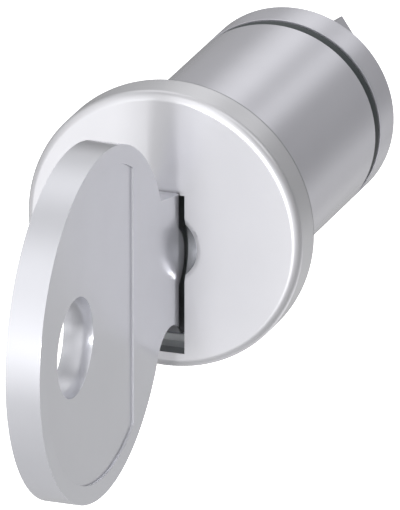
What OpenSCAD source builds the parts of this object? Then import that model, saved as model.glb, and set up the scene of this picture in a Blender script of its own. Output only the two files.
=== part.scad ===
// Cylinder lock with its key in place. A round face disc, the plug behind it and the rear driver
// turn together with the key, inside a barrel that stays still.
// Millimetres. The origin is on the lock axis, in the plane where the flange seats on a panel.
// +Y runs back through the panel, +Z is up and +X is to the right when the face is seen.

/* [Face disc] */
// Diameter of the face disc
disc_d = 19; // [18.6:0.1:24]
// Thickness of the face disc, from its face to the seat plane
disc_t = 2.75; // [2.5:0.05:3.4]
// Radius of the round on the face's edge
edge_round = 0.55; // [0.2:0.05:0.8]
// Thickness of the cap's front wall
cap_wall = 1.1; // [0.9:0.05:1.25]
// Thickness of the cap's skirt
skirt_wall = 0.55; // [0.4:0.05:0.6]
// Gap between the cap's skirt and the panel
skirt_gap = 0.08; // [0.02:0.01:0.2]
// Thickness of the barrel's flange
flange_t = 0.4; // [0.3:0.05:0.5]
// Thickness of the spring washer in front of the flange
washer_t = 0.15; // [0.1:0.01:0.2]
// Width of the washer's ring
washer_w = 0.87; // [0.5:0.01:1]

/* [Key slot] */
// Width of the slot in the face
slot_w = 3; // [2.8:0.05:3.4]
// Height of the slot's top above the axis
slot_top = 2.58; // [2.56:0.01:3]
// Width of the metal between the slot's foot and the disc's rim
slot_margin = 1.13; // [0.9:0.01:1.6]
// Radius of the round dimple across the slot
dimple_r = 2.63; // [2.2:0.01:3]
// Height of the dimple's centre above the axis
dimple_z = -1.17; // [-2:0.01:0]
// Width and depth of the dimple's chamfer
dimple_edge = 0.33; // [0.1:0.01:0.4]
// Depth of the dimple's dished floor below its chamfer
dimple_dish = 0.9; // [0.5:0.01:0.92]

/* [Barrel] */
// Diameter of the barrel
barrel_d = 14; // [13:0.1:15]
// Length of the barrel behind the seat plane
barrel_len = 18.8; // [18:0.1:26]
// Thickness of the barrel's wall round the plug
barrel_wall = 1.35; // [1.2:0.05:1.5]
// Radial running clearance of the plug
run_fit = 0.05; // [0.02:0.01:0.1]
// Axial play of the plug at each end
end_play = 0.05; // [0.02:0.01:0.1]
// Width of the dark thrust ring behind the barrel
ring_w = 1; // [0.6:0.05:2]
// How far the thrust ring lies below the barrel's surface
ring_inset = 0.1; // [0:0.05:0.4]
// Diameter of the stop pin
pin_d = 0.8; // [0.6:0.05:0.85]
// Depth of the stop pin's hole in the barrel
pin_seat = 2.1; // [1.5:0.1:4]
// Angle the lock turns through
turn = 90; // [90:1:100]

/* [Driver] */
// Thickness of the rear driver's disc
driver_t = 2.7; // [2.2:0.1:4]
// Side of the square stub
stub_side = 6; // [5:0.1:6.05]
// Length of the square stub
stub_len = 7; // [6.5:0.1:14]
// Turn of the stub's sides away from level
stub_turn = 34; // [0:1:45]
// Diameter of the tapped hole in the stub's end
tap_d = 2.5; // [2:0.1:3.3]
// Depth of the tapped hole
tap_depth = 6; // [4:0.5:6.4]
// Width of the tongue that drives the disc from the plug
tongue_w = 2.4; // [2:0.1:3]
// Length of the tongue
tongue_depth = 1.6; // [1:0.1:1.8]
// Diameter of the two driver screws
screw_d = 1.6; // [1.2:0.1:1.6]
// Diameter of the screws' heads
screw_head_d = 2.5; // [2:0.1:2.5]
// Height of the screws' heads
screw_head_t = 1; // [0.7:0.1:1.2]
// Depth of the screws in the plug
screw_grip = 3.2; // [2:0.1:3.4]
// Thickness of the plug's wall outside the screws
screw_wall = 0.4; // [0.3:0.05:0.5]

/* [Wafers] */
// Thickness of a wafer
wafer_t = 0.8; // [0.6:0.05:0.9]
// Width of a wafer
wafer_w = 4.8; // [4.6:0.05:5]
// Distance from one wafer to the next
wafer_pitch = 2.1; // [2:0.05:2.35]
// Distance of the first wafer behind the seat plane
wafer_start = 2.6; // [2.4:0.1:3]
// How far each wafer rises when the key is out
wafer_lift = 0.6; // [0.3:0.05:0.7]
// Gap at each side of a wafer in its slot
wafer_fit = 0.05; // [0.02:0.01:0.08]
// Height of the wafer's side lug
lug_h = 1; // [0.6:0.05:1.2]
// Height of the lug's underside above the axis
lug_z = 0.2; // [-0.2:0.05:0.5]
// Outer diameter of the wafer springs
spring_d = 0.98; // [0.8:0.02:1]
// Diameter of the springs' wire
spring_wire = 0.18; // [0.12:0.01:0.22]
// Length of a wafer spring at rest
spring_len = 2.6; // [2:0.1:3]

/* [Key] */
// Thickness of the key
key_t = 2.35; // [2.2:0.05:2.4]
// Gap at each side of the blade in the plug
key_fit = 0.07; // [0.03:0.01:0.1]
// Radius of the round bow
bow_r = 11.7; // [10:0.1:14]
// Height of the bow's centre above the axis
bow_z = -1.4; // [-2:0.1:0]
// Diameter of the key ring's hole
ring_hole_d = 6.6; // [4:0.1:8]
// Width of the metal between the ring's hole and the bow's edge
ring_hole_margin = 3.6; // [2:0.1:6]
// Depth of the shallow pocket in each side of the bow
pocket_depth = 0.15; // [0.05:0.01:0.4]
// Width of the bow's rim round the pocket
pocket_rim = 1.27; // [0.6:0.01:2]
// Distance of the pocket's straight edge in front of the face
pocket_edge = 8.6; // [7:0.1:9.5]
// Height of the blade's top above the axis
blade_top = 2.5; // [2:0.05:2.5]
// Depth of the blade's foot below the axis
blade_foot = 3.9; // [3.5:0.05:4.2]
// Length of the blade past the last wafer
blade_past = 1.7; // [1.5:0.1:2]
// Height of the shoulder that stops the key on the face
shoulder_z = 2.78; // [2.7:0.01:3.2]
// Length of the shoulder's flat
shoulder_len = 0.5; // [0.2:0.1:1]
// Length of the neck between bow and face
neck_len = 3.5; // [3:0.05:4.5]
// Height of the neck's top where it meets the bow
neck_top = 3.4; // [3:0.05:4.5]
// Gap between the key's heel and the slot's foot
heel_gap = 0.97; // [0.6:0.01:1.3]
// Radius of the round notch between bow and heel
notch_r = 2.7; // [2.2:0.05:3]
// Distance of the notch's centre in front of the face
notch_y = 1.79; // [1.5:0.01:2.2]
// Depth of the notch's centre below the heel's foot
notch_drop = 1.2; // [0.8:0.05:1.6]

/* [Hidden] */
$fn = 96;
eps = 0.01;
wafers = 6;

// Heights of the key's six cuts above the blade's foot, rising to the tip
cut_heights = [0.3, 0.55, 0.85, 1.1, 1.45, 1.7];
// Gap between a wafer's window and the blade
window_fit = 0.06;
// Where a cut's slope starts and ends, ahead of the next wafer
slope_start = 0.75;
slope_end = 0.35;
// Gap round parts that slide into each other on assembly
fit_gap = 0.05;
// Gap between the key's shoulder and the face
stop_gap = 0.02;

disc_r = disc_d / 2;
slot_foot = disc_r - slot_margin;
heel_foot = slot_foot - heel_gap;
notch_z = heel_foot + notch_drop;
face_y = -disc_t;
cap_back = face_y + cap_wall;
flange_front = -flange_t;
boss_front = flange_front - washer_t;
head_back = boss_front - end_play;
skirt_r = disc_r - skirt_wall;
head_r = skirt_r - fit_gap;
flange_r = head_r - fit_gap;
washer_r = flange_r - fit_gap;
boss_r = washer_r - washer_w - 0.08;

barrel_r = barrel_d / 2;
bore_r = barrel_r - barrel_wall;
plug_r = bore_r - run_fit;
wafer_r = plug_r - 0.1;
groove_r = wafer_r + wafer_lift + 0.25;
groove_w = wafer_w + 0.2;
groove_start = wafer_start - 1;
pin_r = pin_d / 2;
pin_at = (bore_r + barrel_r) / 2;
pin_angle = 45;
pin_reach = 0.4;
pin_groove = pin_reach + 0.1;
pin_fit = 0.08;

ring_back = barrel_len + ring_w - end_play;
plug_back = barrel_len + ring_w;
ring_r = barrel_r - ring_inset;
driver_back = plug_back + driver_t;
stub_back = driver_back + stub_len;
screw_bore_r = screw_d / 2;
screw_at = plug_r - screw_wall - screw_bore_r;
screw_tip = plug_back - screw_grip;
screw_seat = driver_back - screw_head_t - 0.1;

key_half = key_t / 2;
blade_tip = wafer_y(wafers) + wafer_t + blade_past;
keyway_end = blade_tip + 0.6;
neck_y = face_y - neck_len;
bow_y = neck_y - sqrt(bow_r * bow_r - (neck_top - bow_z) * (neck_top - bow_z));
ring_hole_y = bow_y - bow_r + ring_hole_margin + ring_hole_d / 2;
ring_hole_z = bow_z + 0.1;
heel_back = head_back - 0.05;
slot_gap = slot_w / 2 - key_half;

lug_out = wafer_w / 2 + 1.35;
spring_x = -(wafer_w / 2 + 0.75);
spring_seat = lug_z - spring_len;
pocket_d = spring_d + 0.12;

// Y of a wafer's front side
function wafer_y(i) = wafer_start + (i - 1) * wafer_pitch;

// Z of the blade's foot at one wafer
function cut_z(i) = cut_heights[i - 1] - blade_foot;

// Stretches a shape drawn in X and Z from one Y to another
module along_y(from, to) {
    translate([0, to, 0])
        rotate([90, 0, 0])
            linear_extrude(to - from)
                children();
}

// Stretches a shape drawn in Y and Z from one X to another
module along_x(from, to) {
    translate([from, 0, 0])
        rotate([90, 0, 90])
            linear_extrude(to - from)
                children();
}

// A round rod along Y at a point of the X and Z plane
module rod(r, from, to, x = 0, z = 0) {
    translate([x, from, z])
        rotate([-90, 0, 0])
            cylinder(r = r, h = to - from);
}

// Turns a profile drawn as radius and Y about the lock axis
module turned() {
    rotate([-90, 0, 0])
        rotate_extrude()
            children();
}

// A flat ring about the lock axis
module ring(inner, outer, from, to) {
    difference() {
        rod(outer, from, to);
        rod(inner, from - eps, to + eps);
    }
}

// Places a thing at a radius and an angle from +X towards +Z
module polar(r, angle) {
    rotate([0, -angle, 0])
        translate([r, 0, 0])
            children();
}

// Section of the slot or of the keyway, wider than the key by a gap on each side
module key_section(top, foot, gap) {
    half = key_half + gap;
    translate([-half, -foot])
        square([2 * half, foot + top]);
}

// Seen from the front: the still barrel with its flange, four grooves and the stop pin's hole
module stator_body() {
    color("silver")
        difference() {
            union() {
                rod(boss_r, boss_front, flange_front + eps);
                rod(flange_r, flange_front, 0);
                rod(barrel_r, -eps, barrel_len);
            }
            rod(bore_r, boss_front - eps, barrel_len + eps);
            for (side = [0:3])
                rotate([0, 90 * side, 0])
                    stator_groove();
            polar(pin_at, pin_angle)
                rod(pin_r + 0.02, boss_front - eps, boss_front + pin_seat + 0.1);
        }
}

// One groove of the barrel's bore that takes the raised wafers
module stator_groove() {
    along_y(groove_start, barrel_len + eps)
        intersection() {
            circle(r = groove_r);
            translate([-groove_w / 2, 0])
                square([groove_w, groove_r + 1]);
        }
}

// Pin that stands out of the barrel and ends the turn
module stop_pin() {
    color("dimgray")
        polar(pin_at, pin_angle)
            rod(pin_r, boss_front - pin_reach, boss_front + pin_seat);
}

// Thin washer between the flange and the turning head
module front_washer() {
    color("darkgray")
        ring(boss_r + 0.08, washer_r, boss_front, flange_front);
}

// Dark ring between the barrel and the driver
module thrust_ring() {
    color("dimgray")
        ring(bore_r + 0.05, ring_r, barrel_len, ring_back);
}

// Cap with a rounded edge, the slot and the dimple
module face_cap() {
    color("gainsboro")
        difference() {
            turned()
                cap_profile();
            along_y(face_y - 1, cap_back + eps)
                key_section(slot_top, slot_foot, slot_gap);
            translate([0, 0, dimple_z])
                turned()
                    dimple_profile();
        }
}

// Half section of the cap
module cap_profile() {
    difference() {
        union() {
            translate([0, face_y])
                square([disc_r - edge_round, disc_t - skirt_gap]);
            translate([0, face_y + edge_round])
                square([disc_r, disc_t - skirt_gap - edge_round]);
            translate([disc_r - edge_round, face_y + edge_round])
                circle(r = edge_round);
        }
        translate([-1, cap_back])
            square([skirt_r + 1, disc_t]);
        translate([-2, face_y - 1])
            square([2, disc_t + 2]);
    }
}

// Half section of the dimple: a chamfer and a dished floor
module dimple_profile() {
    floor_r = dimple_r - dimple_edge;
    dish_r = (floor_r * floor_r + dimple_dish * dimple_dish) / (2 * dimple_dish);
    polygon([
        [0, face_y - 1],
        [dimple_r, face_y - 1],
        [dimple_r, face_y],
        [floor_r, face_y + dimple_edge / 2],
        [0, face_y + dimple_edge / 2]
    ]);
    intersection() {
        translate([0, face_y + dimple_edge / 2 + dimple_dish - dish_r])
            circle(r = dish_r);
        translate([0, face_y])
            square([floor_r, dimple_edge / 2 + dimple_dish + eps]);
    }
}

// Turning plug with its head, keyway, wafer slots and drive slot
module plug() {
    color("darkkhaki")
        difference() {
            union() {
                rod(head_r, cap_back, head_back);
                rod(plug_r, head_back - eps, plug_back);
            }
            along_y(cap_back - eps, head_back)
                key_section(slot_top, slot_foot, slot_gap);
            along_y(head_back - eps, keyway_end)
                key_section(blade_top + key_fit, blade_foot + key_fit, key_fit);
            stop_groove();
            for (i = [1:wafers])
                wafer_slot(i);
            rotate([0, -stub_turn, 0])
                translate([-(tongue_w / 2 + fit_gap), plug_back - tongue_depth - fit_gap, -plug_r - 1])
                    cube([tongue_w + 2 * fit_gap, tongue_depth + 1, 2 * plug_r + 2]);
            driver_screw_places()
                rod(screw_bore_r, screw_tip - 0.2, plug_back + 1);
        }
}

// Groove in the back of the head that the stop pin runs in
module stop_groove() {
    half = pin_r + pin_fit;
    rotate([90, 0, 0])
        rotate([0, 0, pin_angle])
            rotate_extrude(angle = turn)
                translate([pin_at - half, -head_back - eps])
                    square([2 * half, pin_groove + eps]);
    for (end = [pin_angle, pin_angle + turn])
        polar(pin_at, end)
            rod(half, head_back - pin_groove, head_back + eps);
}

// Slot for one wafer, with the room for its lug and spring
module wafer_slot(i) {
    half = wafer_w / 2 + wafer_fit;
    translate([-half, wafer_y(i) - wafer_fit, -plug_r - 1])
        cube([2 * half, wafer_t + 2 * wafer_fit, 2 * plug_r + 2]);
    translate([-lug_out - wafer_fit, wafer_y(i) - wafer_fit, spring_seat])
        cube([lug_out, wafer_t + 2 * wafer_fit, plug_r - spring_seat]);
    translate([spring_x, wafer_y(i) + wafer_t / 2, spring_seat])
        cylinder(d = pocket_d, h = plug_r - spring_seat);
}

// One wafer: rounded ends, a window for the blade and a lug for its spring
module wafer(i) {
    color("goldenrod")
        along_y(wafer_y(i), wafer_y(i) + wafer_t)
            difference() {
                union() {
                    intersection() {
                        circle(r = wafer_r);
                        square([wafer_w, 2 * wafer_r], center = true);
                    }
                    translate([-lug_out, lug_z])
                        square([lug_out, lug_h]);
                }
                window(i);
            }
}

// Window of one wafer, its foot just below the key's cut
module window(i) {
    foot = cut_z(i) - window_fit;
    side = key_half + 0.12;
    translate([-side, foot])
        square([2 * side, blade_top + 0.1 - foot]);
}

// Coil spring that pushes one wafer's lug up
module wafer_spring(i) {
    color("lightsteelblue")
        translate([spring_x, wafer_y(i) + wafer_t / 2, spring_seat])
            coil((spring_d - spring_wire) / 2, spring_wire / 2, spring_len - 0.04, 6);
}

// A wire coil of a mean radius, wire radius, height and count of turns
module coil(mean_r, wire_r, height, turns) {
    steps = 12 * turns;
    sides = 6;
    climb = height - 2 * wire_r - 0.02;
    points = [
        for (s = [0:steps], k = [0:sides - 1])
            let (a = 360 * turns * s / steps, b = 360 * k / sides, r = mean_r + wire_r * cos(b))
                [r * cos(a), r * sin(a), wire_r + 0.02 + climb * s / steps + wire_r * sin(b)]
    ];
    walls = [
        for (s = [0:steps - 1], k = [0:sides - 1])
            let (n = (k + 1) % sides, p = s * sides)
                [p + k, p + sides + k, p + sides + n, p + n]
    ];
    first = [for (k = [0:sides - 1]) k];
    last = [for (k = [0:sides - 1]) steps * sides + sides - 1 - k];
    polyhedron(points, concat([first], walls, [last]));
}

// Puts a thing at the two driver screws
module driver_screw_places() {
    for (side = [0, 180])
        polar(screw_at, stub_turn + side)
            children();
}

// Rear driver: disc, square stub with a tapped end and the tongue in the plug
module driver() {
    color("silver")
        difference() {
            union() {
                rod(barrel_r, plug_back, driver_back);
                rotate([0, -stub_turn, 0])
                    translate([-stub_side / 2, driver_back - eps, -stub_side / 2])
                        cube([stub_side, stub_len + eps, stub_side]);
                intersection() {
                    rod(plug_r - 0.1, plug_back - tongue_depth, plug_back + eps);
                    rotate([0, -stub_turn, 0])
                        translate([-tongue_w / 2, plug_back - tongue_depth, -plug_r])
                            cube([tongue_w, tongue_depth + eps, 2 * plug_r]);
                }
            }
            rod(tap_d / 2, stub_back - tap_depth, stub_back + 1);
            driver_screw_places() {
                rod(screw_bore_r + 0.1, plug_back - 1, driver_back);
                rod(screw_head_d / 2 + 0.05, screw_seat, driver_back + 1);
            }
        }
}

// Two screws that hold the driver on the plug
module driver_screws() {
    color("dimgray")
        driver_screw_places()
            difference() {
                union() {
                    rod(screw_bore_r - 0.02, screw_tip, screw_seat + eps);
                    rod(screw_head_d / 2, screw_seat, screw_seat + screw_head_t);
                }
                translate([-screw_head_d, screw_seat + screw_head_t - 0.4, -0.2])
                    cube([2 * screw_head_d, 1, 0.4]);
            }
}

// Key with its round bow, neck, heel and cut blade
module key() {
    color("lightgray")
        difference() {
            intersection() {
                key_blank();
                key_slab();
            }
            along_x(-key_half - 1, key_half + 1)
                translate([ring_hole_y, ring_hole_z])
                    circle(d = ring_hole_d);
            for (side = [-1, 1])
                translate([side * (key_half - pocket_depth / 2 + 0.5), 0, 0])
                    along_x(-pocket_depth / 2 - 0.5, pocket_depth / 2 + 0.5)
                        pocket_outline();
        }
}

// Blank wider than the key: the round bow, and the stem less its round notch
module key_blank() {
    side = key_half + 1;
    difference() {
        union() {
            along_x(-side, side)
                translate([bow_y, bow_z])
                    circle(r = bow_r);
            along_x(-side, side)
                polygon(stem_points());
        }
        along_x(-side - 1, side + 1)
            translate([face_y - notch_y, -notch_z])
                circle(r = notch_r);
    }
}

// Slab as thick as the key and larger than its blank
module key_slab() {
    reach = bow_r + 1;
    translate([-key_half, bow_y - reach, bow_z - reach])
        cube([2 * key_half, blade_tip - bow_y + reach + 1, 2 * reach]);
}

// Outline of the stem, from inside the bow along the neck's top to the tip, and back along the
// blade's cuts, which rise to the tip, and the heel
function stem_points() =
    let (
        slope = (neck_top - shoulder_z) / (neck_len - shoulder_len),
        inside = neck_y - 2,
        slopes = [
            for (i = [wafers:-1:2], end = [slope_end, slope_start])
                [wafer_y(i) - end, cut_z(end == slope_end ? i : i - 1)]
        ]
    )
    concat(
        [
            [inside, neck_top + 2 * slope],
            [face_y - shoulder_len, shoulder_z],
            [face_y - stop_gap, shoulder_z],
            [face_y - stop_gap, blade_top],
            [blade_tip - 1.2, blade_top],
            [blade_tip, 1.2],
            [blade_tip, -0.4],
            [wafer_y(wafers + 1) - slope_start, cut_z(wafers)]
        ],
        slopes,
        [
            [wafer_y(1) - slope_end, cut_z(1)],
            [wafer_y(1) - slope_start, -blade_foot],
            [heel_back, -blade_foot],
            [heel_back, -heel_foot],
            [inside, -heel_foot]
        ]
    );

// Side view of the shallow pocket in the bow
module pocket_outline() {
    intersection() {
        translate([bow_y, bow_z])
            circle(r = bow_r - pocket_rim);
        translate([bow_y - bow_r, bow_z - bow_r])
            square([face_y - pocket_edge - bow_y + bow_r, 2 * bow_r]);
    }
}

stator_body();
stop_pin();
front_washer();
thrust_ring();
face_cap();
plug();
driver();
driver_screws();
key();
wafer(1);  // wafer_1
wafer(2);  // wafer_2
wafer(3);  // wafer_3
wafer(4);  // wafer_4
wafer(5);  // wafer_5
wafer(6);  // wafer_6
wafer_spring(1);  // wafer_spring_1
wafer_spring(2);  // wafer_spring_2
wafer_spring(3);  // wafer_spring_3
wafer_spring(4);  // wafer_spring_4
wafer_spring(5);  // wafer_spring_5
wafer_spring(6);  // wafer_spring_6
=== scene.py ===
"""A small cylinder lock with its key in place, dressed, lit and set before the camera."""
import math

import bpy
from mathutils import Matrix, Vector


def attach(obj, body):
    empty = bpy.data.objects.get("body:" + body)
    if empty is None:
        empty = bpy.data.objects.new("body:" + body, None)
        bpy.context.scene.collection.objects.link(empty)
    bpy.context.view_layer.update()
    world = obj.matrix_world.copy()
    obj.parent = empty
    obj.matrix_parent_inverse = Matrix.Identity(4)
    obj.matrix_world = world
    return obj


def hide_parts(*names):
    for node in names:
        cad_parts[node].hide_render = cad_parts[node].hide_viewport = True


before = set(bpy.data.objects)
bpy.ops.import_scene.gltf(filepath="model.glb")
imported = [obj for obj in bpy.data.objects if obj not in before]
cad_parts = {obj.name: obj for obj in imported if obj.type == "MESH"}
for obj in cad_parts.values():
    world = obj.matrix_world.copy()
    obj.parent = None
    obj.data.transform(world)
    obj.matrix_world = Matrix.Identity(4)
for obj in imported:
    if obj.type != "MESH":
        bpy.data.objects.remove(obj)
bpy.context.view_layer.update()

bl_info = {
    "name": "Cylinder Lock",
    "version": (1, 0, 0),
    "blender": (4, 5, 0),
    "location": "3D View > Sidebar > Cylinder Lock",
    "description": "Builds a small cylinder lock with its key, its finishes and a plain studio",
    "category": "Object",
}

MM = 0.001

# All lengths below are millimetres and all angles degrees. The sizes of the pieces are within
# a few hundredths of the solids', unless said otherwise

# Places along the lock axis, counted from the back of the barrel's flange
FACE_Y = -2.75
CAP_BACK = -1.65
BOSS_FRONT = -0.55
FLANGE_FRONT = -0.4
SHADOW_LINE_FRONT = -0.21
BOSS_FOOT = -0.15
SKIRT_BACK = -0.08
GROOVE_FRONT = 1.6
TONGUE_FRONT = 18.2
BARREL_LEN = 18.8
RING_BACK = 19.75
DRIVER_FRONT = 19.8
SCREW_SEAT = 21.4
DRIVER_BACK = 22.5
STUB_BACK = 29.5

# Radii about the lock axis
DISC_R = 9.494
SKIRT_R = 8.95
FLANGE_R = 8.85
BOSS_R = 7.78
BARREL_R = 7.0
BORE_R = 5.65

# The face disc's slot and dimple, and how far short of its side its rounded edge stops
SLOT_HALF = 1.5
SLOT_FOOT = -8.37
SLOT_TOP = 2.58
DIMPLE_Z = -1.17
DIMPLE_R = 2.65
DISH_R = 2.3
DISH_FRONT = FACE_Y + 0.165
ROUND_STOP = 8

# Its painted shadow line, a very shallow step at the back of the skirt, and its broken edges,
# which the solids leave out
SHADOW_LINE_DEPTH = 0.012
DISC_BREAK = 0.03

# The barrel's four grooves for the wafers
GROOVE_R = 6.35
GROOVE_FOOT = 3
GROOVE_HALF = 2.5

# The stop pin's hole, the square stub and the tapped hole in its end, which is plain in the solids
PIN_AT = 4.4725
PIN_HOLE_R = 0.42
PIN_HOLE_END = 1.65
STUB_TURN = 34
STUB_HALF = 3
TAP_R = 1.25
THREAD_R = 1.43
THREAD_LEN = 5.6
TAP_MOUTH_R = 1.55

# The driver's tongue, and its two screws with their stepped holes
TONGUE_HALF = 1.2
TONGUE_REACH = 5.3
SCREW_AT = 4.4
SCREW_TIP = 16.6
SCREW_END = 22.4
SCREW_R = 0.78
HEAD_R = 1.25
HEAD_SLOT_HALF = 0.2
SHANK_HOLE_R = 0.9
HEAD_HOLE_R = 1.3
HOLE_MOUTH_R = 1.45

# The key, whose heel ends 0.25 higher here than in the solids
KEY_HALF = 1.175
BOW_Y = -16.92
BOW_Z = -1.4
BOW_R = 11.7
BOW_ENDS = (24.22, 327.0)
RING_HOLE_Y = -21.72
RING_HOLE_Z = -1.3
RING_HOLE_R = 3.3
POCKET_RIM = 1.27
POCKET_EDGE = -11.35
NOTCH_Y = -4.54
NOTCH_Z = -8.6
NOTCH_R = 2.7
NOTCH_ENDS = (162.1, 32.5)
HEEL_BACK = -0.65
HEEL_FOOT = -7.15
BLADE_FOOT = -3.9
BLADE_TOP = 2.5
BLADE_TIP = 15.6
TIP_FOOT = -0.4
TIP_SLOPE = 1.2
TIP_TOP = 1.2
SHOULDER_FRONT = -3.25
SHOULDER_BACK = -2.77
SHOULDER_TOP = 2.78
CUTS = (0.3, 0.55, 0.85, 1.1, 1.45, 1.7)
CUT_AT = 2.6
CUT_PITCH = 2.1
RAMP_FROM = 0.75
RAMP_TO = 0.35

# Painted shade on the key's sides where they pass into the slot: they turn dark between two places
# along Y, but not in a ball beside the dimple
KEY_SHADE_FROM = -3.15
KEY_SHADE_TO = -2.8
SHADE_GAP_AT = (1.1, -4.2, -1.6)
SHADE_GAP_R = 2.2

# The camera's angles from the front, its aim, its distance, its lens and its sensor
CAMERA_TURN = 20.12
CAMERA_RISE = 20.31
CAMERA_AIM = (-0.0086, 4.2997, -4.1305)
CAMERA_AWAY = 1203.2
CAMERA_LENS = 1300
CAMERA_SENSOR = 36

# The floor's side and height, and how wide the front light looks
FLOOR_SIDE = 8000
FLOOR_Z = -40
FRONT_LIGHT_SPREAD = 12


class LockSizes(bpy.types.PropertyGroup):
    face_round: bpy.props.FloatProperty(
        name="Face round", description="Radius of the round on the face disc's edge",
        default=0.62 * MM, min=0.4 * MM, max=1 * MM, unit="LENGTH")
    edge_break: bpy.props.FloatProperty(
        name="Edge break", description="Width of the small bevel on the key's edges",
        default=0.08 * MM, min=0.02 * MM, max=0.1 * MM, unit="LENGTH")
    dish_depth: bpy.props.FloatProperty(
        name="Dish depth", description="Depth of the dimple's dished floor",
        default=0.9 * MM, min=0.5 * MM, max=0.92 * MM, unit="LENGTH")
    pocket_depth: bpy.props.FloatProperty(
        name="Pocket depth",
        description="Depth of the shallow pocket in each side of the key's bow",
        default=0.15 * MM, min=0.05 * MM, max=0.3 * MM, unit="LENGTH")
    thread_pitch: bpy.props.FloatProperty(
        name="Thread pitch", description="Pitch of the thread in the stub's end",
        default=0.45 * MM, min=0.3 * MM, max=0.6 * MM, unit="LENGTH")


class LockFinishes(bpy.types.PropertyGroup):
    face_color: bpy.props.FloatVectorProperty(
        name="Face nickel", description="Colour of the face disc's plating",
        default=(0.865, 0.863, 0.9), size=3, min=0, max=1, subtype="COLOR")
    key_color: bpy.props.FloatVectorProperty(
        name="Key nickel", description="Colour of the key's plating",
        default=(0.825, 0.83, 0.882), size=3, min=0, max=1, subtype="COLOR")
    barrel_color: bpy.props.FloatVectorProperty(
        name="Barrel nickel", description="Colour of the barrel's and the driver's plating",
        default=(0.81, 0.805, 0.872), size=3, min=0, max=1, subtype="COLOR")
    ring_color: bpy.props.FloatVectorProperty(
        name="Dark ring", description="Colour of the thrust ring",
        default=(0.085, 0.1, 0.105), size=3, min=0, max=1, subtype="COLOR")
    # Painted shade: this dark colour is laid on the slot's walls and on the shadow line at the
    # skirt's back edge, where shade falls
    slot_shade_color: bpy.props.FloatVectorProperty(
        name="Slot", description="Colour of the unpolished walls of the slot and the keyway",
        default=(0.31, 0.33, 0.337), size=3, min=0, max=1, subtype="COLOR")
    # Painted shade: this colour is laid on the key's sides where they pass into the dark slot
    key_shade_color: bpy.props.FloatVectorProperty(
        name="Key shade", description="Colour of the key's worn, oiled blade",
        default=(0.08, 0.086, 0.09), size=3, min=0, max=1, subtype="COLOR")
    brass_color: bpy.props.FloatVectorProperty(
        name="Brass", description="Colour of the plug and the wafers",
        default=(0.78, 0.58, 0.28), size=3, min=0, max=1, subtype="COLOR")
    satin: bpy.props.FloatProperty(
        name="Satin", description="Roughness of the plated outside",
        default=0.25, min=0.1, max=0.8, subtype="FACTOR")
    plating: bpy.props.FloatProperty(
        name="Plating",
        description="How far the outside shines like bare metal, not like satin paint",
        default=0.5, min=0, max=1, subtype="FACTOR")


class LockStudio(bpy.types.PropertyGroup):
    dome: bpy.props.FloatProperty(
        name="Dome", description="Strength of the even light from all round",
        default=0.04, min=0, max=3)
    front_light: bpy.props.FloatProperty(
        name="Front light", description="Strength of the soft light from straight ahead",
        default=1.69, min=0, max=10)
    floor_glow: bpy.props.FloatProperty(
        name="Floor glow", description="Light that the pale floor gives off by itself",
        default=1.0, min=0, max=3)


def sizes():
    return bpy.context.scene.lock_sizes


def finishes():
    return bpy.context.scene.lock_finishes


def studio_values():
    return bpy.context.scene.lock_studio


# Modelling by hand


def clear_selection():
    bpy.ops.object.select_all(action="DESELECT")


def only(piece):
    clear_selection()
    piece.select_set(True)
    bpy.context.view_layer.objects.active = piece


def name_piece(name):
    piece = bpy.context.object
    piece.name = name
    piece.data.name = name
    return piece


def settle(piece):
    """Put the piece's place into its mesh."""
    only(piece)
    bpy.ops.object.transform_apply(location=True, rotation=True, scale=True)


def tidy_shell(piece):
    """Merge doubled points and turn all faces outward."""
    only(piece)
    bpy.ops.object.mode_set(mode="EDIT")
    bpy.ops.mesh.select_all(action="SELECT")
    bpy.ops.mesh.remove_doubles(threshold=0.001 * MM)
    bpy.ops.mesh.normals_make_consistent(inside=False)
    bpy.ops.object.mode_set(mode="OBJECT")


def turned(name, profile, steps=128, at=(0, 0)):
    """Extrude a ring through (radius, Y) points in millimetres, as on a lathe.

    A profile whose last point is its first closes into a ring, and any other gets flat ends."""
    closed = profile[0] == profile[-1]
    radius, y = profile[0]
    clear_selection()
    bpy.ops.mesh.primitive_circle_add(
        vertices=steps, radius=radius * MM, fill_type="NOTHING" if closed else "NGON",
        location=(0, y * MM, 0), rotation=(math.pi / 2, 0, 0))
    piece = name_piece(name)
    settle(piece)
    bpy.ops.object.mode_set(mode="EDIT")
    bpy.ops.mesh.select_mode(type="EDGE")
    bpy.ops.mesh.select_all(action="SELECT")
    for next_radius, next_y in profile[1:]:
        bpy.ops.mesh.extrude_region_move(
            TRANSFORM_OT_translate={"value": (0, (next_y - y) * MM, 0)})
        ratio = next_radius / radius
        bpy.ops.transform.resize(value=(ratio, 1, ratio), center_override=(0, next_y * MM, 0))
        radius, y = next_radius, next_y
    bpy.ops.object.mode_set(mode="OBJECT")
    piece.location = (at[0] * MM, 0, at[1] * MM)
    settle(piece)
    tidy_shell(piece)
    return piece


def arc(center, radius, start, end, steps):
    """Points of an arc, with angles in degrees."""
    return [
        (center[0] + radius * math.cos(math.radians(start + (end - start) * i / steps)),
         center[1] + radius * math.sin(math.radians(start + (end - start) * i / steps)))
        for i in range(steps + 1)
    ]


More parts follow.
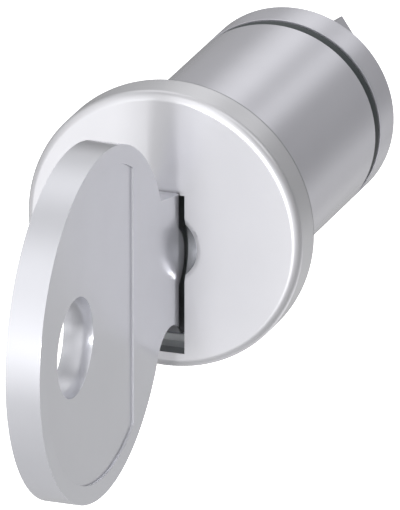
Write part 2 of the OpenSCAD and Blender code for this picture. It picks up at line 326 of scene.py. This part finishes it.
def outlined(name, points, low, high, axis="Y"):
    """Walk a point round an outline in millimetres, fill it and extrude it from low to high.

    Along Y the points are (X, Z), and along X they are (Y, Z)."""
    def place(p, depth):
        return Vector((p[0], depth, p[1]) if axis == "Y" else (depth, p[0], p[1])) * MM

    clear_selection()
    bpy.ops.mesh.primitive_plane_add(size=MM, location=place(points[0], low))
    piece = name_piece(name)
    settle(piece)
    bpy.ops.object.mode_set(mode="EDIT")
    bpy.ops.mesh.select_mode(type="VERT")
    bpy.ops.mesh.select_all(action="SELECT")
    bpy.ops.mesh.merge(type="CENTER")
    for before, after in zip(points, points[1:]):
        bpy.ops.mesh.extrude_region_move(
            TRANSFORM_OT_translate={"value": place(after, low) - place(before, low)})
    bpy.ops.mesh.select_all(action="SELECT")
    bpy.ops.mesh.edge_face_add()
    bpy.ops.mesh.extrude_region_move(
        TRANSFORM_OT_translate={"value": place(points[0], high) - place(points[0], low)})
    bpy.ops.object.mode_set(mode="OBJECT")
    tidy_shell(piece)
    return piece


def block(name, low, high):
    """A box between two corners in millimetres, to be shaped further."""
    size = [(b - a) * MM for a, b in zip(low, high)]
    middle = [(a + b) / 2 * MM for a, b in zip(low, high)]
    clear_selection()
    bpy.ops.mesh.primitive_cube_add(size=1, location=middle, scale=size)
    piece = name_piece(name)
    settle(piece)
    return piece


def spun_about_axis(piece, degrees):
    """Turn a piece about the lock axis, from +X towards +Z."""
    piece.rotation_euler = (0, -math.radians(degrees), 0)
    settle(piece)
    return piece


def joined_by(piece, tool, operation):
    """Cut a tool out of a piece, or weld it on, and take the tool away."""
    only(piece)
    modifier = piece.modifiers.new("Shape", "BOOLEAN")
    modifier.operation = operation
    modifier.solver = "EXACT"
    modifier.object = tool
    bpy.ops.object.modifier_apply(modifier=modifier.name)
    bpy.data.objects.remove(tool, do_unlink=True)
    return piece


def cut(piece, *tools):
    for tool in tools:
        joined_by(piece, tool, "DIFFERENCE")


def weld(piece, *tools):
    for tool in tools:
        joined_by(piece, tool, "UNION")


def break_edges(piece, width, segments=2, angle=35):
    """Small bevels on all sharp edges."""
    only(piece)
    modifier = piece.modifiers.new("Edges", "BEVEL")
    modifier.width = width
    modifier.segments = segments
    modifier.limit_method = "ANGLE"
    modifier.angle_limit = math.radians(angle)
    modifier.use_clamp_overlap = True
    bpy.ops.object.modifier_apply(modifier=modifier.name)


def smooth(piece, angle=32):
    """Smooth shading that keeps flats flat."""
    only(piece)
    bpy.ops.object.shade_smooth_by_angle(angle=math.radians(angle))
    modifier = piece.modifiers.new("Flats", "WEIGHTED_NORMAL")
    modifier.keep_sharp = True
    modifier.weight = 100
    bpy.ops.object.modifier_apply(modifier=modifier.name)


def set_piece(piece, body, slot_name, material, *nodes):
    """Finish a piece: its body, its material and the solids it stands for. The record slot's name
    is not used.
    """
    piece.data.materials.clear()
    piece.data.materials.append(material)
    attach(piece, body)
    if nodes:
        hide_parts(*nodes)


# Finishes


def group_shell(name, inputs, outputs):
    """An empty node group with its sockets, and its two end nodes."""
    tree = bpy.data.node_groups.new(name, "ShaderNodeTree")
    for label, kind, value in inputs:
        socket = tree.interface.new_socket(name=label, in_out="INPUT", socket_type=kind)
        if value is not None:
            socket.default_value = value
    for label, kind in outputs:
        tree.interface.new_socket(name=label, in_out="OUTPUT", socket_type=kind)
    return tree, tree.nodes.new("NodeGroupInput"), tree.nodes.new("NodeGroupOutput")


def plating_grain():
    """Fine grain of satin plating: a mask, a height and a soft cloudiness."""
    name = "Plating grain"
    if name in bpy.data.node_groups:
        return bpy.data.node_groups[name]
    tree, start, end = group_shell(
        name,
        [("Place", "NodeSocketVector", None), ("Grain", "NodeSocketFloat", 9000.0),
         ("Cloud", "NodeSocketFloat", 260.0)],
        [("Height", "NodeSocketFloat"), ("Cloudiness", "NodeSocketFloat")])
    links = tree.links
    grain = tree.nodes.new("ShaderNodeTexNoise")
    grain.inputs["Detail"].default_value = 3
    grain.inputs["Roughness"].default_value = 0.65
    links.new(start.outputs["Place"], grain.inputs["Vector"])
    links.new(start.outputs["Grain"], grain.inputs["Scale"])
    cloud = tree.nodes.new("ShaderNodeTexNoise")
    cloud.inputs["Detail"].default_value = 2
    links.new(start.outputs["Place"], cloud.inputs["Vector"])
    links.new(start.outputs["Cloud"], cloud.inputs["Scale"])
    links.new(grain.outputs["Fac"], end.inputs["Height"])
    links.new(cloud.outputs["Fac"], end.inputs["Cloudiness"])
    return tree


def turning_lines():
    """Fine lines that a lathe leaves: rings about the lock axis, along Y or along the radius."""
    name = "Turning lines"
    if name in bpy.data.node_groups:
        return bpy.data.node_groups[name]
    tree, start, end = group_shell(
        name,
        [("Place", "NodeSocketVector", None), ("Lines", "NodeSocketFloat", 14000.0)],
        [("Height", "NodeSocketFloat")])
    links = tree.links
    split = tree.nodes.new("ShaderNodeSeparateXYZ")
    links.new(start.outputs["Place"], split.inputs[0])
    flat = tree.nodes.new("ShaderNodeCombineXYZ")
    links.new(split.outputs["X"], flat.inputs["X"])
    links.new(split.outputs["Z"], flat.inputs["Z"])
    radius = tree.nodes.new("ShaderNodeVectorMath")
    radius.operation = "LENGTH"
    links.new(flat.outputs[0], radius.inputs[0])
    along = tree.nodes.new("ShaderNodeCombineXYZ")
    links.new(radius.outputs["Value"], along.inputs["X"])
    links.new(split.outputs["Y"], along.inputs["Y"])
    lines = tree.nodes.new("ShaderNodeTexNoise")
    lines.inputs["Detail"].default_value = 4
    lines.inputs["Roughness"].default_value = 0.7
    links.new(along.outputs[0], lines.inputs["Vector"])
    links.new(start.outputs["Lines"], lines.inputs["Scale"])
    links.new(lines.outputs["Fac"], end.inputs["Height"])
    return tree


def feed(links, value, socket):
    """Give a socket a plain value, or what another node puts out."""
    if isinstance(value, bpy.types.NodeSocket):
        links.new(value, socket)
    else:
        socket.default_value = value


def reckoned(nodes, links, operation, *values):
    """What a maths node makes of some values."""
    step = nodes.new("ShaderNodeMath")
    step.operation = operation
    for value, socket in zip(values, step.inputs):
        feed(links, value, socket)
    return step.outputs[0]


def mixed(nodes, links, factor, first, second, kind="FLOAT"):
    """A mix of two values or two colours."""
    mix = nodes.new("ShaderNodeMix")
    mix.data_type = kind
    feed(links, factor, mix.inputs["Factor"])
    feed(links, first, mix.inputs["A"])
    feed(links, second, mix.inputs["B"])
    return mix.outputs["Result"]


def metal(name, color, roughness, metallic=1.0, bump=0.1, lines=0.0, shade=0.94, swing=0.03):
    """A plated or bare metal with grain, cloudy gloss and turning lines."""
    if name in bpy.data.materials:
        return bpy.data.materials[name]
    material = bpy.data.materials.new(name)
    material.use_nodes = True
    nodes = material.node_tree.nodes
    links = material.node_tree.links
    shader = nodes["Principled BSDF"]
    shader.inputs["Metallic"].default_value = metallic
    place = nodes.new("ShaderNodeTexCoord")
    grain = nodes.new("ShaderNodeGroup")
    grain.node_tree = plating_grain()
    links.new(place.outputs["Object"], grain.inputs["Place"])
    height = grain.outputs["Height"]
    if lines:
        rings = nodes.new("ShaderNodeGroup")
        rings.node_tree = turning_lines()
        links.new(place.outputs["Object"], rings.inputs["Place"])
        height = mixed(nodes, links, lines, height, rings.outputs["Height"])
    shaded = (color[0] * shade, color[1] * shade, color[2] * shade, 1)
    tone = mixed(nodes, links, grain.outputs["Cloudiness"], shaded, (*color, 1), "RGBA")
    links.new(tone, shader.inputs["Base Color"])
    gloss = nodes.new("ShaderNodeMapRange")
    gloss.inputs["To Min"].default_value = roughness - swing
    gloss.inputs["To Max"].default_value = roughness + swing
    links.new(height, gloss.inputs["Value"])
    links.new(gloss.outputs["Result"], shader.inputs["Roughness"])
    relief = nodes.new("ShaderNodeBump")
    relief.inputs["Strength"].default_value = bump
    relief.inputs["Distance"].default_value = 0.01 * MM
    links.new(height, relief.inputs["Height"])
    links.new(relief.outputs["Normal"], shader.inputs["Normal"])
    return material


def plated(name, color, smoother, bump, lines=0.0):
    """The satin plating of the outside, smoother than the panel's value by a step."""
    return metal(name, color, finishes().satin - smoother, finishes().plating, bump, lines)


def paint_key_slot_shade(material):
    """Paint shade on the key's sides from the face inwards, where they pass into the dark slot.

    A ball beside the dimple stays brighter, and so do the cut edges between the two sides."""
    nodes = material.node_tree.nodes
    links = material.node_tree.links
    base = nodes["Principled BSDF"].inputs["Base Color"]
    place = nodes.new("ShaderNodeTexCoord")
    ball = nodes.new("ShaderNodeVectorMath")
    ball.operation = "DISTANCE"
    ball.inputs[1].default_value = Vector(SHADE_GAP_AT) * MM
    links.new(place.outputs["Object"], ball.inputs[0])
    split = nodes.new("ShaderNodeSeparateXYZ")
    links.new(place.outputs["Object"], split.inputs[0])
    side = reckoned(nodes, links, "ABSOLUTE", split.outputs["X"])
    shade_amount = 1.0
    # Each row: what is measured, where the painted shade begins and is full, and its least amount
    for source, low, high, least in (
            (split.outputs["Y"], KEY_SHADE_FROM, KEY_SHADE_TO, 0), (side, 0.95, 1.1, 0.45),
            (ball.outputs["Value"], SHADE_GAP_R, SHADE_GAP_R + 0.25, 0.3)):
        band = nodes.new("ShaderNodeMapRange")
        band.interpolation_type = "SMOOTHSTEP"
        band.inputs["From Min"].default_value = low * MM
        band.inputs["From Max"].default_value = high * MM
        band.inputs["To Min"].default_value = least
        links.new(source, band.inputs["Value"])
        shade_amount = reckoned(nodes, links, "MULTIPLY", band.outputs["Result"], shade_amount)
    plain_tone = base.links[0].from_socket
    shadowed = mixed(nodes, links, shade_amount, plain_tone, (*finishes().key_shade_color, 1), "RGBA")
    links.new(shadowed, base)


# Pieces


def paint_cut_shade_and_polish(disc):
    """Paint shade on the slot's walls and a shadow line on the skirt's back edge, and give the
    dimple a polish.
    """
    near = 0.1
    # Painted shade on the slot's walls and the skirt's back edge
    disc.data.materials.append(metal("Slot and seam shade", finishes().slot_shade_color, 0.4, metallic=0.5))
    disc.data.materials.append(
        metal("Dimple polish", (0.8, 0.81, 0.825), 0.19, metallic=0.9, bump=0.04))
    for face in disc.data.polygons:
        x, y, z = face.center / MM
        in_slot = (abs(x) < SLOT_HALF + 0.4 and SLOT_FOOT - near < z < SLOT_TOP + near
                   and y > FACE_Y + 0.05 and abs(face.normal.y) < 0.3)
        in_dimple = (math.hypot(x, z - DIMPLE_Z) < DISH_R - 0.01
                     and FACE_Y + near < y < CAP_BACK - 0.05)
        # The slot's walls and the skirt's back edge take the painted shade
        if in_slot or math.hypot(x, z) > DISC_R - near and y > SHADOW_LINE_FRONT:
            face.material_index = 1
        elif in_dimple:
            face.material_index = 2


class LOCK_OT_face_disc(bpy.types.Operator):
    """Face disc: a cap turned with a rounded edge, then slotted and dimpled"""
    bl_idname = "lock.face_disc"
    bl_label = "Face disc"

    def execute(self, context):
        soft = sizes().face_round / MM
        bevel = 0.04
        inside = DISC_R - soft * math.cos(math.radians(ROUND_STOP))
        profile = arc((inside, FACE_Y + soft), soft, -90, -ROUND_STOP, 16)
        profile += [
            (DISC_R, SKIRT_BACK - bevel), (DISC_R - bevel, SKIRT_BACK),
            (SKIRT_R + bevel, SKIRT_BACK), (SKIRT_R, SKIRT_BACK - bevel), (SKIRT_R, CAP_BACK)]
        disc = turned("face_disc", profile, steps=192)
        deep = sizes().dish_depth / MM
        ball = (DISH_R ** 2 + deep ** 2) / (2 * deep)
        dish = [(DIMPLE_R + 0.5, FACE_Y - 0.5), (DIMPLE_R, FACE_Y), (DISH_R, DISH_FRONT)]
        # The dished floor, part of a ball, from near its rim to near its middle
        dish += [(r / 10, DISH_FRONT + deep - ball + math.sqrt(ball ** 2 - (r / 10) ** 2))
                 for r in range(22, 0, -1)]
        cut(disc, turned("dish_tool", dish, steps=160, at=(0, DIMPLE_Z)))
        cut(disc, block("slot_tool", (-SLOT_HALF, FACE_Y - 1, SLOT_FOOT),
                        (SLOT_HALF, CAP_BACK + 0.5, SLOT_TOP)))
        break_edges(disc, DISC_BREAK * MM, angle=24)
        # A very shallow step at the skirt's back, which carries the painted shadow line
        inner, past = DISC_R - SHADOW_LINE_DEPTH, SKIRT_BACK + 1
        cut(disc, turned("seam_tool", [
            (inner, SHADOW_LINE_FRONT), (DISC_R + 1, SHADOW_LINE_FRONT), (DISC_R + 1, past), (inner, past),
            (inner, SHADOW_LINE_FRONT)], steps=192))
        smooth(disc)
        look = plated("Face nickel", finishes().face_color, smoother=0, bump=0.06)
        set_piece(disc, "rotor", "face_nickel", look, "face_cap")
        paint_cut_shade_and_polish(disc)
        return {"FINISHED"}


class LOCK_OT_barrel(bpy.types.Operator):
    """Still barrel: turned with its flange, then grooved inside for the wafers"""
    bl_idname = "lock.barrel"
    bl_label = "Barrel"

    def execute(self, context):
        bevel = 0.06
        profile = [
            (BORE_R, BOSS_FRONT), (BOSS_R - 0.1, BOSS_FRONT), (BOSS_R, BOSS_FRONT + 0.1),
            (BOSS_R, BOSS_FOOT), (BOSS_R + 0.25, BOSS_FOOT), (BOSS_R + 0.25, FLANGE_FRONT),
            (FLANGE_R - bevel, FLANGE_FRONT), (FLANGE_R, FLANGE_FRONT + bevel),
            (FLANGE_R, -bevel), (FLANGE_R - bevel, 0), (BARREL_R, 0),
            (BARREL_R, BARREL_LEN - 0.09), (BARREL_R - 0.03, BARREL_LEN - 0.03),
            (BARREL_R - 0.09, BARREL_LEN),
            (BORE_R + bevel, BARREL_LEN), (BORE_R, BARREL_LEN - bevel), (BORE_R, BOSS_FRONT)]
        barrel = turned("barrel", profile, steps=192)
        for side in range(4):
            groove = turned("groove_tool", [
                (GROOVE_R, GROOVE_FRONT), (GROOVE_R, BARREL_LEN + 0.5)], steps=96)
            only(groove)
            bpy.ops.object.mode_set(mode="EDIT")
            for point, normal in (((GROOVE_HALF, 0, 0), (1, 0, 0)),
                                  ((-GROOVE_HALF, 0, 0), (-1, 0, 0)),
                                  ((0, 0, GROOVE_FOOT), (0, 0, -1))):
                bpy.ops.mesh.select_all(action="SELECT")
                bpy.ops.mesh.bisect(plane_co=Vector(point) * MM, plane_no=normal,
                                    use_fill=True, clear_outer=True)
            bpy.ops.object.mode_set(mode="OBJECT")
            tidy_shell(groove)
            cut(barrel, spun_about_axis(groove, 90 * side))
        cut(barrel, turned("pin_tool", [
            (PIN_HOLE_R, BOSS_FRONT - 0.5), (PIN_HOLE_R, PIN_HOLE_END)], steps=32,
            at=(PIN_AT, PIN_AT)))
        smooth(barrel)
        look = plated("Barrel nickel", finishes().barrel_color, smoother=0.09, bump=0.08,
                      lines=0.5)
        set_piece(barrel, "barrel", "barrel_steel", look, "stator_body")
        return {"FINISHED"}


class LOCK_OT_thrust_ring(bpy.types.Operator):
    """Dark thrust ring between the barrel and the driver"""
    bl_idname = "lock.thrust_ring"
    bl_label = "Thrust ring"

    def execute(self, context):
        bevel = 0.08
        inner, outer = BORE_R + 0.05, BARREL_R - 0.1
        ring = turned("dark_thrust_ring", [
            (inner, BARREL_LEN), (outer - bevel, BARREL_LEN), (outer - 0.03, BARREL_LEN + 0.03),
            (outer, BARREL_LEN + bevel), (outer, RING_BACK - bevel), (outer - bevel, RING_BACK),
            (inner, RING_BACK), (inner, BARREL_LEN)], steps=192)
        smooth(ring)
        look = metal("Dark ring", finishes().ring_color, 0.55, metallic=0, bump=0.15, shade=0.85)
        set_piece(ring, "barrel", "dark_ring", look, "thrust_ring")
        return {"FINISHED"}


class LOCK_OT_driver(bpy.types.Operator):
    """Rear driver: a turned disc with a square stub, its tongue and its tapped hole"""
    bl_idname = "lock.driver"
    bl_label = "Driver"

    def execute(self, context):
        bevel = 0.07
        disc = turned("rear_driver", [
            (BARREL_R - bevel, DRIVER_FRONT), (BARREL_R - 0.02, DRIVER_FRONT + 0.02),
            (BARREL_R, DRIVER_FRONT + bevel), (BARREL_R, DRIVER_BACK - 0.15),
            (BARREL_R - 0.04, DRIVER_BACK - 0.04), (BARREL_R - 0.15, DRIVER_BACK)], steps=192)
        stub = block("stub_tool", (-STUB_HALF, DRIVER_BACK - 0.5, -STUB_HALF),
                     (STUB_HALF, STUB_BACK, STUB_HALF))
        break_edges(stub, 0.06 * MM)
        weld(disc, spun_about_axis(stub, STUB_TURN))
        tongue = block("tongue_tool", (-TONGUE_HALF, TONGUE_FRONT, -TONGUE_REACH),
                       (TONGUE_HALF, DRIVER_FRONT + 0.5, TONGUE_REACH))
        break_edges(tongue, 0.08 * MM)
        weld(disc, spun_about_axis(tongue, STUB_TURN))
        pitch = sizes().thread_pitch / MM
        end = STUB_BACK - THREAD_LEN - 0.4
        thread = [(TAP_MOUTH_R, STUB_BACK + 0.4), (TAP_MOUTH_R, STUB_BACK),
                  (TAP_R, STUB_BACK - 0.3)]
        y = STUB_BACK - 0.35
        while y - pitch > STUB_BACK - THREAD_LEN:
            thread += [(TAP_R, y), (THREAD_R, y - pitch * 0.4), (THREAD_R, y - pitch * 0.6)]
            y -= pitch
        thread += [(TAP_R, y), (TAP_R, end), (0.05, end)]
        cut(disc, turned("thread_tool", thread, steps=64))
        for turn in (STUB_TURN, STUB_TURN + 180):
            bore = turned("bore_tool", [
                (SHANK_HOLE_R, DRIVER_FRONT - 0.5), (SHANK_HOLE_R, SCREW_SEAT),
                (HEAD_HOLE_R, SCREW_SEAT), (HEAD_HOLE_R, DRIVER_BACK - 0.07),
                (HOLE_MOUTH_R, DRIVER_BACK + 0.08), (HOLE_MOUTH_R, DRIVER_BACK + 0.5)],
                steps=64, at=(SCREW_AT, 0))
            cut(disc, spun_about_axis(bore, turn))
        smooth(disc)
        look = plated("Driver nickel", finishes().barrel_color, smoother=0.09, bump=0.08,
                      lines=0.35)
        set_piece(disc, "rotor", "driver_steel", look, "driver")
        return {"FINISHED"}


class LOCK_OT_driver_screws(bpy.types.Operator):
    """Two slotted screws, modelled once and copied"""
    bl_idname = "lock.driver_screws"
    bl_label = "Driver screws"

    def execute(self, context):
        screw = turned("driver_screw_pair", [
            (SCREW_R - 0.23, SCREW_TIP), (SCREW_R, SCREW_TIP + 0.25), (SCREW_R, SCREW_SEAT),
            (HEAD_R - 0.04, SCREW_SEAT), (HEAD_R, SCREW_SEAT + 0.04), (HEAD_R, SCREW_END - 0.12),
            (HEAD_R - 0.04, SCREW_END - 0.04), (HEAD_R - 0.15, SCREW_END)],
            steps=64, at=(SCREW_AT, 0))
        cut(screw, block("slot_tool", (SCREW_AT - 2, SCREW_END - 0.4, -HEAD_SLOT_HALF),
                         (SCREW_AT + 2, SCREW_END + 0.6, HEAD_SLOT_HALF)))
        break_edges(screw, 0.02 * MM, segments=1, angle=50)
        spun_about_axis(screw, STUB_TURN)
        only(screw)
        bpy.ops.object.duplicate()
        other = bpy.context.object
        spun_about_axis(other, 180)
        only(screw)
        other.select_set(True)
        bpy.ops.object.join()
        smooth(screw)
        look = metal("Screw steel", (0.35, 0.36, 0.38), 0.32)
        set_piece(screw, "rotor", "screw_steel", look, "driver_screws")
        return {"FINISHED"}


def key_outline():
    """The key from the side: bow, notch, heel, cut blade, tip and shoulder."""
    points = arc((BOW_Y, BOW_Z), BOW_R, *BOW_ENDS, 200)
    points += arc((NOTCH_Y, NOTCH_Z), NOTCH_R, *NOTCH_ENDS, 40)[1:]
    points += [(HEEL_BACK, HEEL_FOOT), (HEEL_BACK, BLADE_FOOT), (CUT_AT - RAMP_FROM, BLADE_FOOT)]
    for i, rise in enumerate(CUTS):
        start, level = CUT_AT + i * CUT_PITCH, BLADE_FOOT + rise
        points += [(start - RAMP_TO, level), (start + CUT_PITCH - RAMP_FROM, level)]
    points += [(BLADE_TIP, TIP_FOOT), (BLADE_TIP, TIP_TOP), (BLADE_TIP - TIP_SLOPE, BLADE_TOP),
               (SHOULDER_BACK, BLADE_TOP), (SHOULDER_BACK, SHOULDER_TOP),
               (SHOULDER_FRONT, SHOULDER_TOP)]
    return points


class LOCK_OT_key(bpy.types.Operator):
    """Key: its outline walked round, extruded, bored and pocketed"""
    bl_idname = "lock.key"
    bl_label = "Key"

    def execute(self, context):
        key = outlined("nickel_key", key_outline(), -KEY_HALF, KEY_HALF, axis="X")
        hole = turned("hole_tool", [(RING_HOLE_R, -2), (RING_HOLE_R, 2)], steps=128)
        hole.rotation_euler = (0, 0, math.pi / 2)
        hole.location = Vector((0, RING_HOLE_Y, RING_HOLE_Z)) * MM
        settle(hole)
        cut(key, hole)
        floor = KEY_HALF - sizes().pocket_depth / MM
        reach = BOW_R - POCKET_RIM
        half = math.degrees(math.acos((POCKET_EDGE - BOW_Y) / reach))
        shape = arc((BOW_Y, BOW_Z), reach, half, 360 - half, 160)
        for side in (-1, 1):
            low, high = sorted((side * floor, side * (KEY_HALF + 0.5)))
            cut(key, outlined("pocket_tool", shape, low, high, axis="X"))
        break_edges(key, sizes().edge_break, angle=30)
        smooth(key)
        look = plated("Key nickel", finishes().key_color, smoother=0.05, bump=0.06)
        # Painted shade on the key's sides where they enter the slot
        paint_key_slot_shade(look)
        set_piece(key, "key", "key_nickel", look, "key")
        return {"FINISHED"}


class LOCK_OT_inner_parts(bpy.types.Operator):
    """Finishes of the plug, wafers, springs, washer and pin inside"""
    bl_idname = "lock.inner_parts"
    bl_label = "Inner parts"

    def execute(self, context):
        looks = {
            "plug": metal("Plug", (0.56, 0.585, 0.595), 0.4, metallic=0.5, bump=0.12, lines=0.4),
            "wafer": metal("Wafer brass", finishes().brass_color, 0.3, bump=0.12, shade=0.82),
            "wafer_spring": metal("Spring steel", (0.55, 0.56, 0.58), 0.28, bump=0.05),
            "front_washer": metal("Washer steel", (0.88, 0.89, 0.9), 0.35, metallic=0.5),
            "stop_pin": metal("Pin steel", (0.42, 0.43, 0.45), 0.3, bump=0.08)}
        for name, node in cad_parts.items():
            kind = name.rstrip("0123456789").rstrip("_")
            if kind in looks:
                node.data.materials.clear()
                node.data.materials.append(looks[kind])
        return {"FINISHED"}


# Studio


def studio_floor():
    clear_selection()
    bpy.ops.mesh.primitive_plane_add(size=FLOOR_SIDE * MM, location=(0, 0, FLOOR_Z * MM))
    floor = name_piece("studio_floor")
    settle(floor)
    material = bpy.data.materials.new("Pale floor")
    material.use_nodes = True
    shader = material.node_tree.nodes["Principled BSDF"]
    shader.inputs["Base Color"].default_value = (0.92, 0.92, 0.92, 1)
    shader.inputs["Roughness"].default_value = 0.9
    shader.inputs["Emission Color"].default_value = (1, 1, 1, 1)
    shader.inputs["Emission Strength"].default_value = studio_values().floor_glow
    floor.data.materials.append(material)
    floor.visible_diffuse = False
    floor.visible_glossy = False
    floor.visible_shadow = False


def studio_camera():
    """Long lens at the photograph's angle, to the right of the front and above."""
    turn, rise = math.radians(CAMERA_TURN), math.radians(CAMERA_RISE)
    away = Vector((math.sin(turn) * math.cos(rise), -math.cos(turn) * math.cos(rise),
                   math.sin(rise)))
    aim = Vector(CAMERA_AIM) * MM
    bpy.ops.object.camera_add(location=aim + away * CAMERA_AWAY * MM)
    camera = bpy.context.object
    camera.name = "studio_camera"
    camera.rotation_euler = away.to_track_quat("Z", "Y").to_euler()
    camera.data.lens = CAMERA_LENS
    camera.data.sensor_width = CAMERA_SENSOR
    camera.data.clip_start = 0.01
    camera.data.clip_end = 20
    bpy.context.scene.camera = camera


# Soft patches of the dome: name, turn from the front to the right, height, focus, strength
PATCHES = (
    ("front below", 0, -90, 12, 0.24),
    ("left below", -90, -62, 12, 0.05),
    ("back below", 180, -62, 12, 0.39),
    ("back left below", -115, -50, 40, 0.09),
    ("left below", -90, -50, 40, 0.28),
    ("front left below", -60, -50, 40, 0.5),
    ("right below", 110, -50, 40, 0.09),
    ("back right below", 130, -50, 40, 0.32),
    ("back right below", 150, -50, 40, 0.42),
    ("front left low", -40, -40, 40, 0.39),
    ("front low", 0, -40, 40, 0.16),
    ("back left low", -135, -32, 12, 0.24),
    ("left low", -90, -32, 12, 0.31),
    ("back right low", 135, -32, 12, 0.68),
    ("back low", 180, -32, 12, 0.45),
    ("back low", 175, -28, 110, 0.1),
    ("back right low", 130, -25, 40, 0.07),
    ("back right low", 150, -25, 40, 0.21),
    ("back low", -165, -24, 110, 0.05),
    ("back left low", -115, -20, 40, 0.09),
    ("front left low", -40, -20, 40, 0.77),
    ("front low", 0, -20, 40, 1.14),
    ("back low", 158, -18, 110, 0.14),
    ("back left", -153, -9, 110, 0.1),
    ("back right", 153, -9, 110, 0.08),
    ("back left", -152, 0, 110, 0.15),
    ("left", -108, 0, 12, 0.09),
    ("front left", -36, 0, 12, 0.32),
    ("front", 0, 0, 12, 1.17),
    ("front", 0, 0, 40, 0.28),
    ("front right", 36, 0, 12, 0.49),
    ("back right", 150, 0, 40, 0.07),
    ("back right", 152, 0, 110, 0.11),
    ("back left", -153, 9, 110, 0.11),
    ("back right", 153, 9, 110, 0.16),
    ("back left", -115, 10, 40, 0.11),
    ("back raised", 158, 18, 110, 0.05),
    ("front left raised", -40, 20, 40, 0.26),
    ("front raised", 0, 20, 40, 0.25),
    ("back raised", -165, 24, 110, 0.25),
    ("back raised", 165, 24, 110, 0.54),
    ("back raised", -175, 28, 110, 0.47),
    ("back raised", -160, 30, 12, 0.42),
    ("left raised", -80, 30, 12, 0.49),
    ("front left raised", -40, 30, 12, 0.32),
    ("front raised", 0, 30, 12, 0.71),
    ("back raised", 160, 30, 12, 0.32),
    ("back left high", -144, 60, 12, 0.88),
    ("left high", -72, 60, 12, 0.05),
    ("front high", 0, 60, 12, 1.1),
    ("right raised", 90, 44, 50, 1.1),
    ("right high", 90, 70, 50, 1.0),
    ("back right high", 144, 60, 12, 0.26),
)


def studio_dome():
    """An even dome with soft brighter patches, each a smooth lobe about its direction."""
    world = bpy.data.worlds.new("Soft studio")
    world.use_nodes = True
    nodes = world.node_tree.nodes
    links = world.node_tree.links
    back = nodes["Background"]
    back.inputs["Color"].default_value = (1, 1, 1, 1)
    place = nodes.new("ShaderNodeTexCoord")
    total = studio_values().dome
    for name, turn, rise, focus, strength in PATCHES:
        across, up = math.radians(turn), math.radians(rise)
        facing = nodes.new("ShaderNodeVectorMath")
        facing.label = name
        facing.operation = "DOT_PRODUCT"
        facing.inputs[1].default_value = (
            math.sin(across) * math.cos(up), -math.cos(across) * math.cos(up), math.sin(up))
        links.new(place.outputs["Generated"], facing.inputs[0])
        lobe = reckoned(nodes, links, "MAXIMUM", facing.outputs["Value"], 0)
        lobe = reckoned(nodes, links, "POWER", lobe, focus)
        lobe = reckoned(nodes, links, "MULTIPLY", lobe, strength)
        total = reckoned(nodes, links, "ADD", total, lobe)
    # Past the floor's edge the camera sees plain white
    sight = nodes.new("ShaderNodeLightPath")
    links.new(mixed(nodes, links, sight.outputs["Is Camera Ray"], total, 1.0),
              back.inputs["Strength"])
    bpy.context.scene.world = world


def studio_front_light():
    """Soft light from straight ahead, which throws the key's shadow on the face."""
    bpy.ops.object.light_add(type="SUN", rotation=(math.pi / 2, 0, 0))
    light = bpy.context.object
    light.name = "front_light"
    light.data.angle = math.radians(FRONT_LIGHT_SPREAD)
    light.data.energy = studio_values().front_light


class LOCK_OT_studio(bpy.types.Operator):
    """Pale floor, soft light and the camera"""
    bl_idname = "lock.studio"
    bl_label = "Studio"

    def execute(self, context):
        clear_selection()
        studio_floor()
        studio_camera()
        studio_dome()
        studio_front_light()
        context.scene.view_settings.view_transform = "Standard"
        return {"FINISHED"}


class LOCK_PT_panel(bpy.types.Panel):
    """Sizes, finishes, studio and the steps of the lock"""
    bl_idname = "LOCK_PT_panel"
    bl_label = "Cylinder Lock"
    bl_space_type = "VIEW_3D"
    bl_region_type = "UI"
    bl_category = "Cylinder Lock"

    def draw(self, context):
        layout = self.layout
        scene = context.scene
        for label, group in (("Sizes", scene.lock_sizes), ("Finishes", scene.lock_finishes),
                             ("Studio", scene.lock_studio)):
            box = layout.box()
            box.label(text=label)
            for name in group.bl_rna.properties.keys():
                if name not in {"rna_type", "name"}:
                    box.prop(group, name)
        for step in STEPS:
            layout.operator(step.bl_idname)


STEPS = (
    LOCK_OT_face_disc, LOCK_OT_barrel, LOCK_OT_thrust_ring, LOCK_OT_driver,
    LOCK_OT_driver_screws, LOCK_OT_key, LOCK_OT_inner_parts, LOCK_OT_studio)
CLASSES = (LockSizes, LockFinishes, LockStudio) + STEPS + (LOCK_PT_panel,)


def register():
    for cls in CLASSES:
        bpy.utils.register_class(cls)
    bpy.types.Scene.lock_sizes = bpy.props.PointerProperty(type=LockSizes)
    bpy.types.Scene.lock_finishes = bpy.props.PointerProperty(type=LockFinishes)
    bpy.types.Scene.lock_studio = bpy.props.PointerProperty(type=LockStudio)


def unregister():
    del bpy.types.Scene.lock_studio
    del bpy.types.Scene.lock_finishes
    del bpy.types.Scene.lock_sizes
    for cls in reversed(CLASSES):
        bpy.utils.unregister_class(cls)


def main():
    register()
    bpy.ops.lock.face_disc()
    bpy.ops.lock.barrel()
    bpy.ops.lock.thrust_ring()
    bpy.ops.lock.driver()
    bpy.ops.lock.driver_screws()
    bpy.ops.lock.key()
    bpy.ops.lock.inner_parts()
    bpy.ops.lock.studio()


if __name__ == "__main__":
    main()
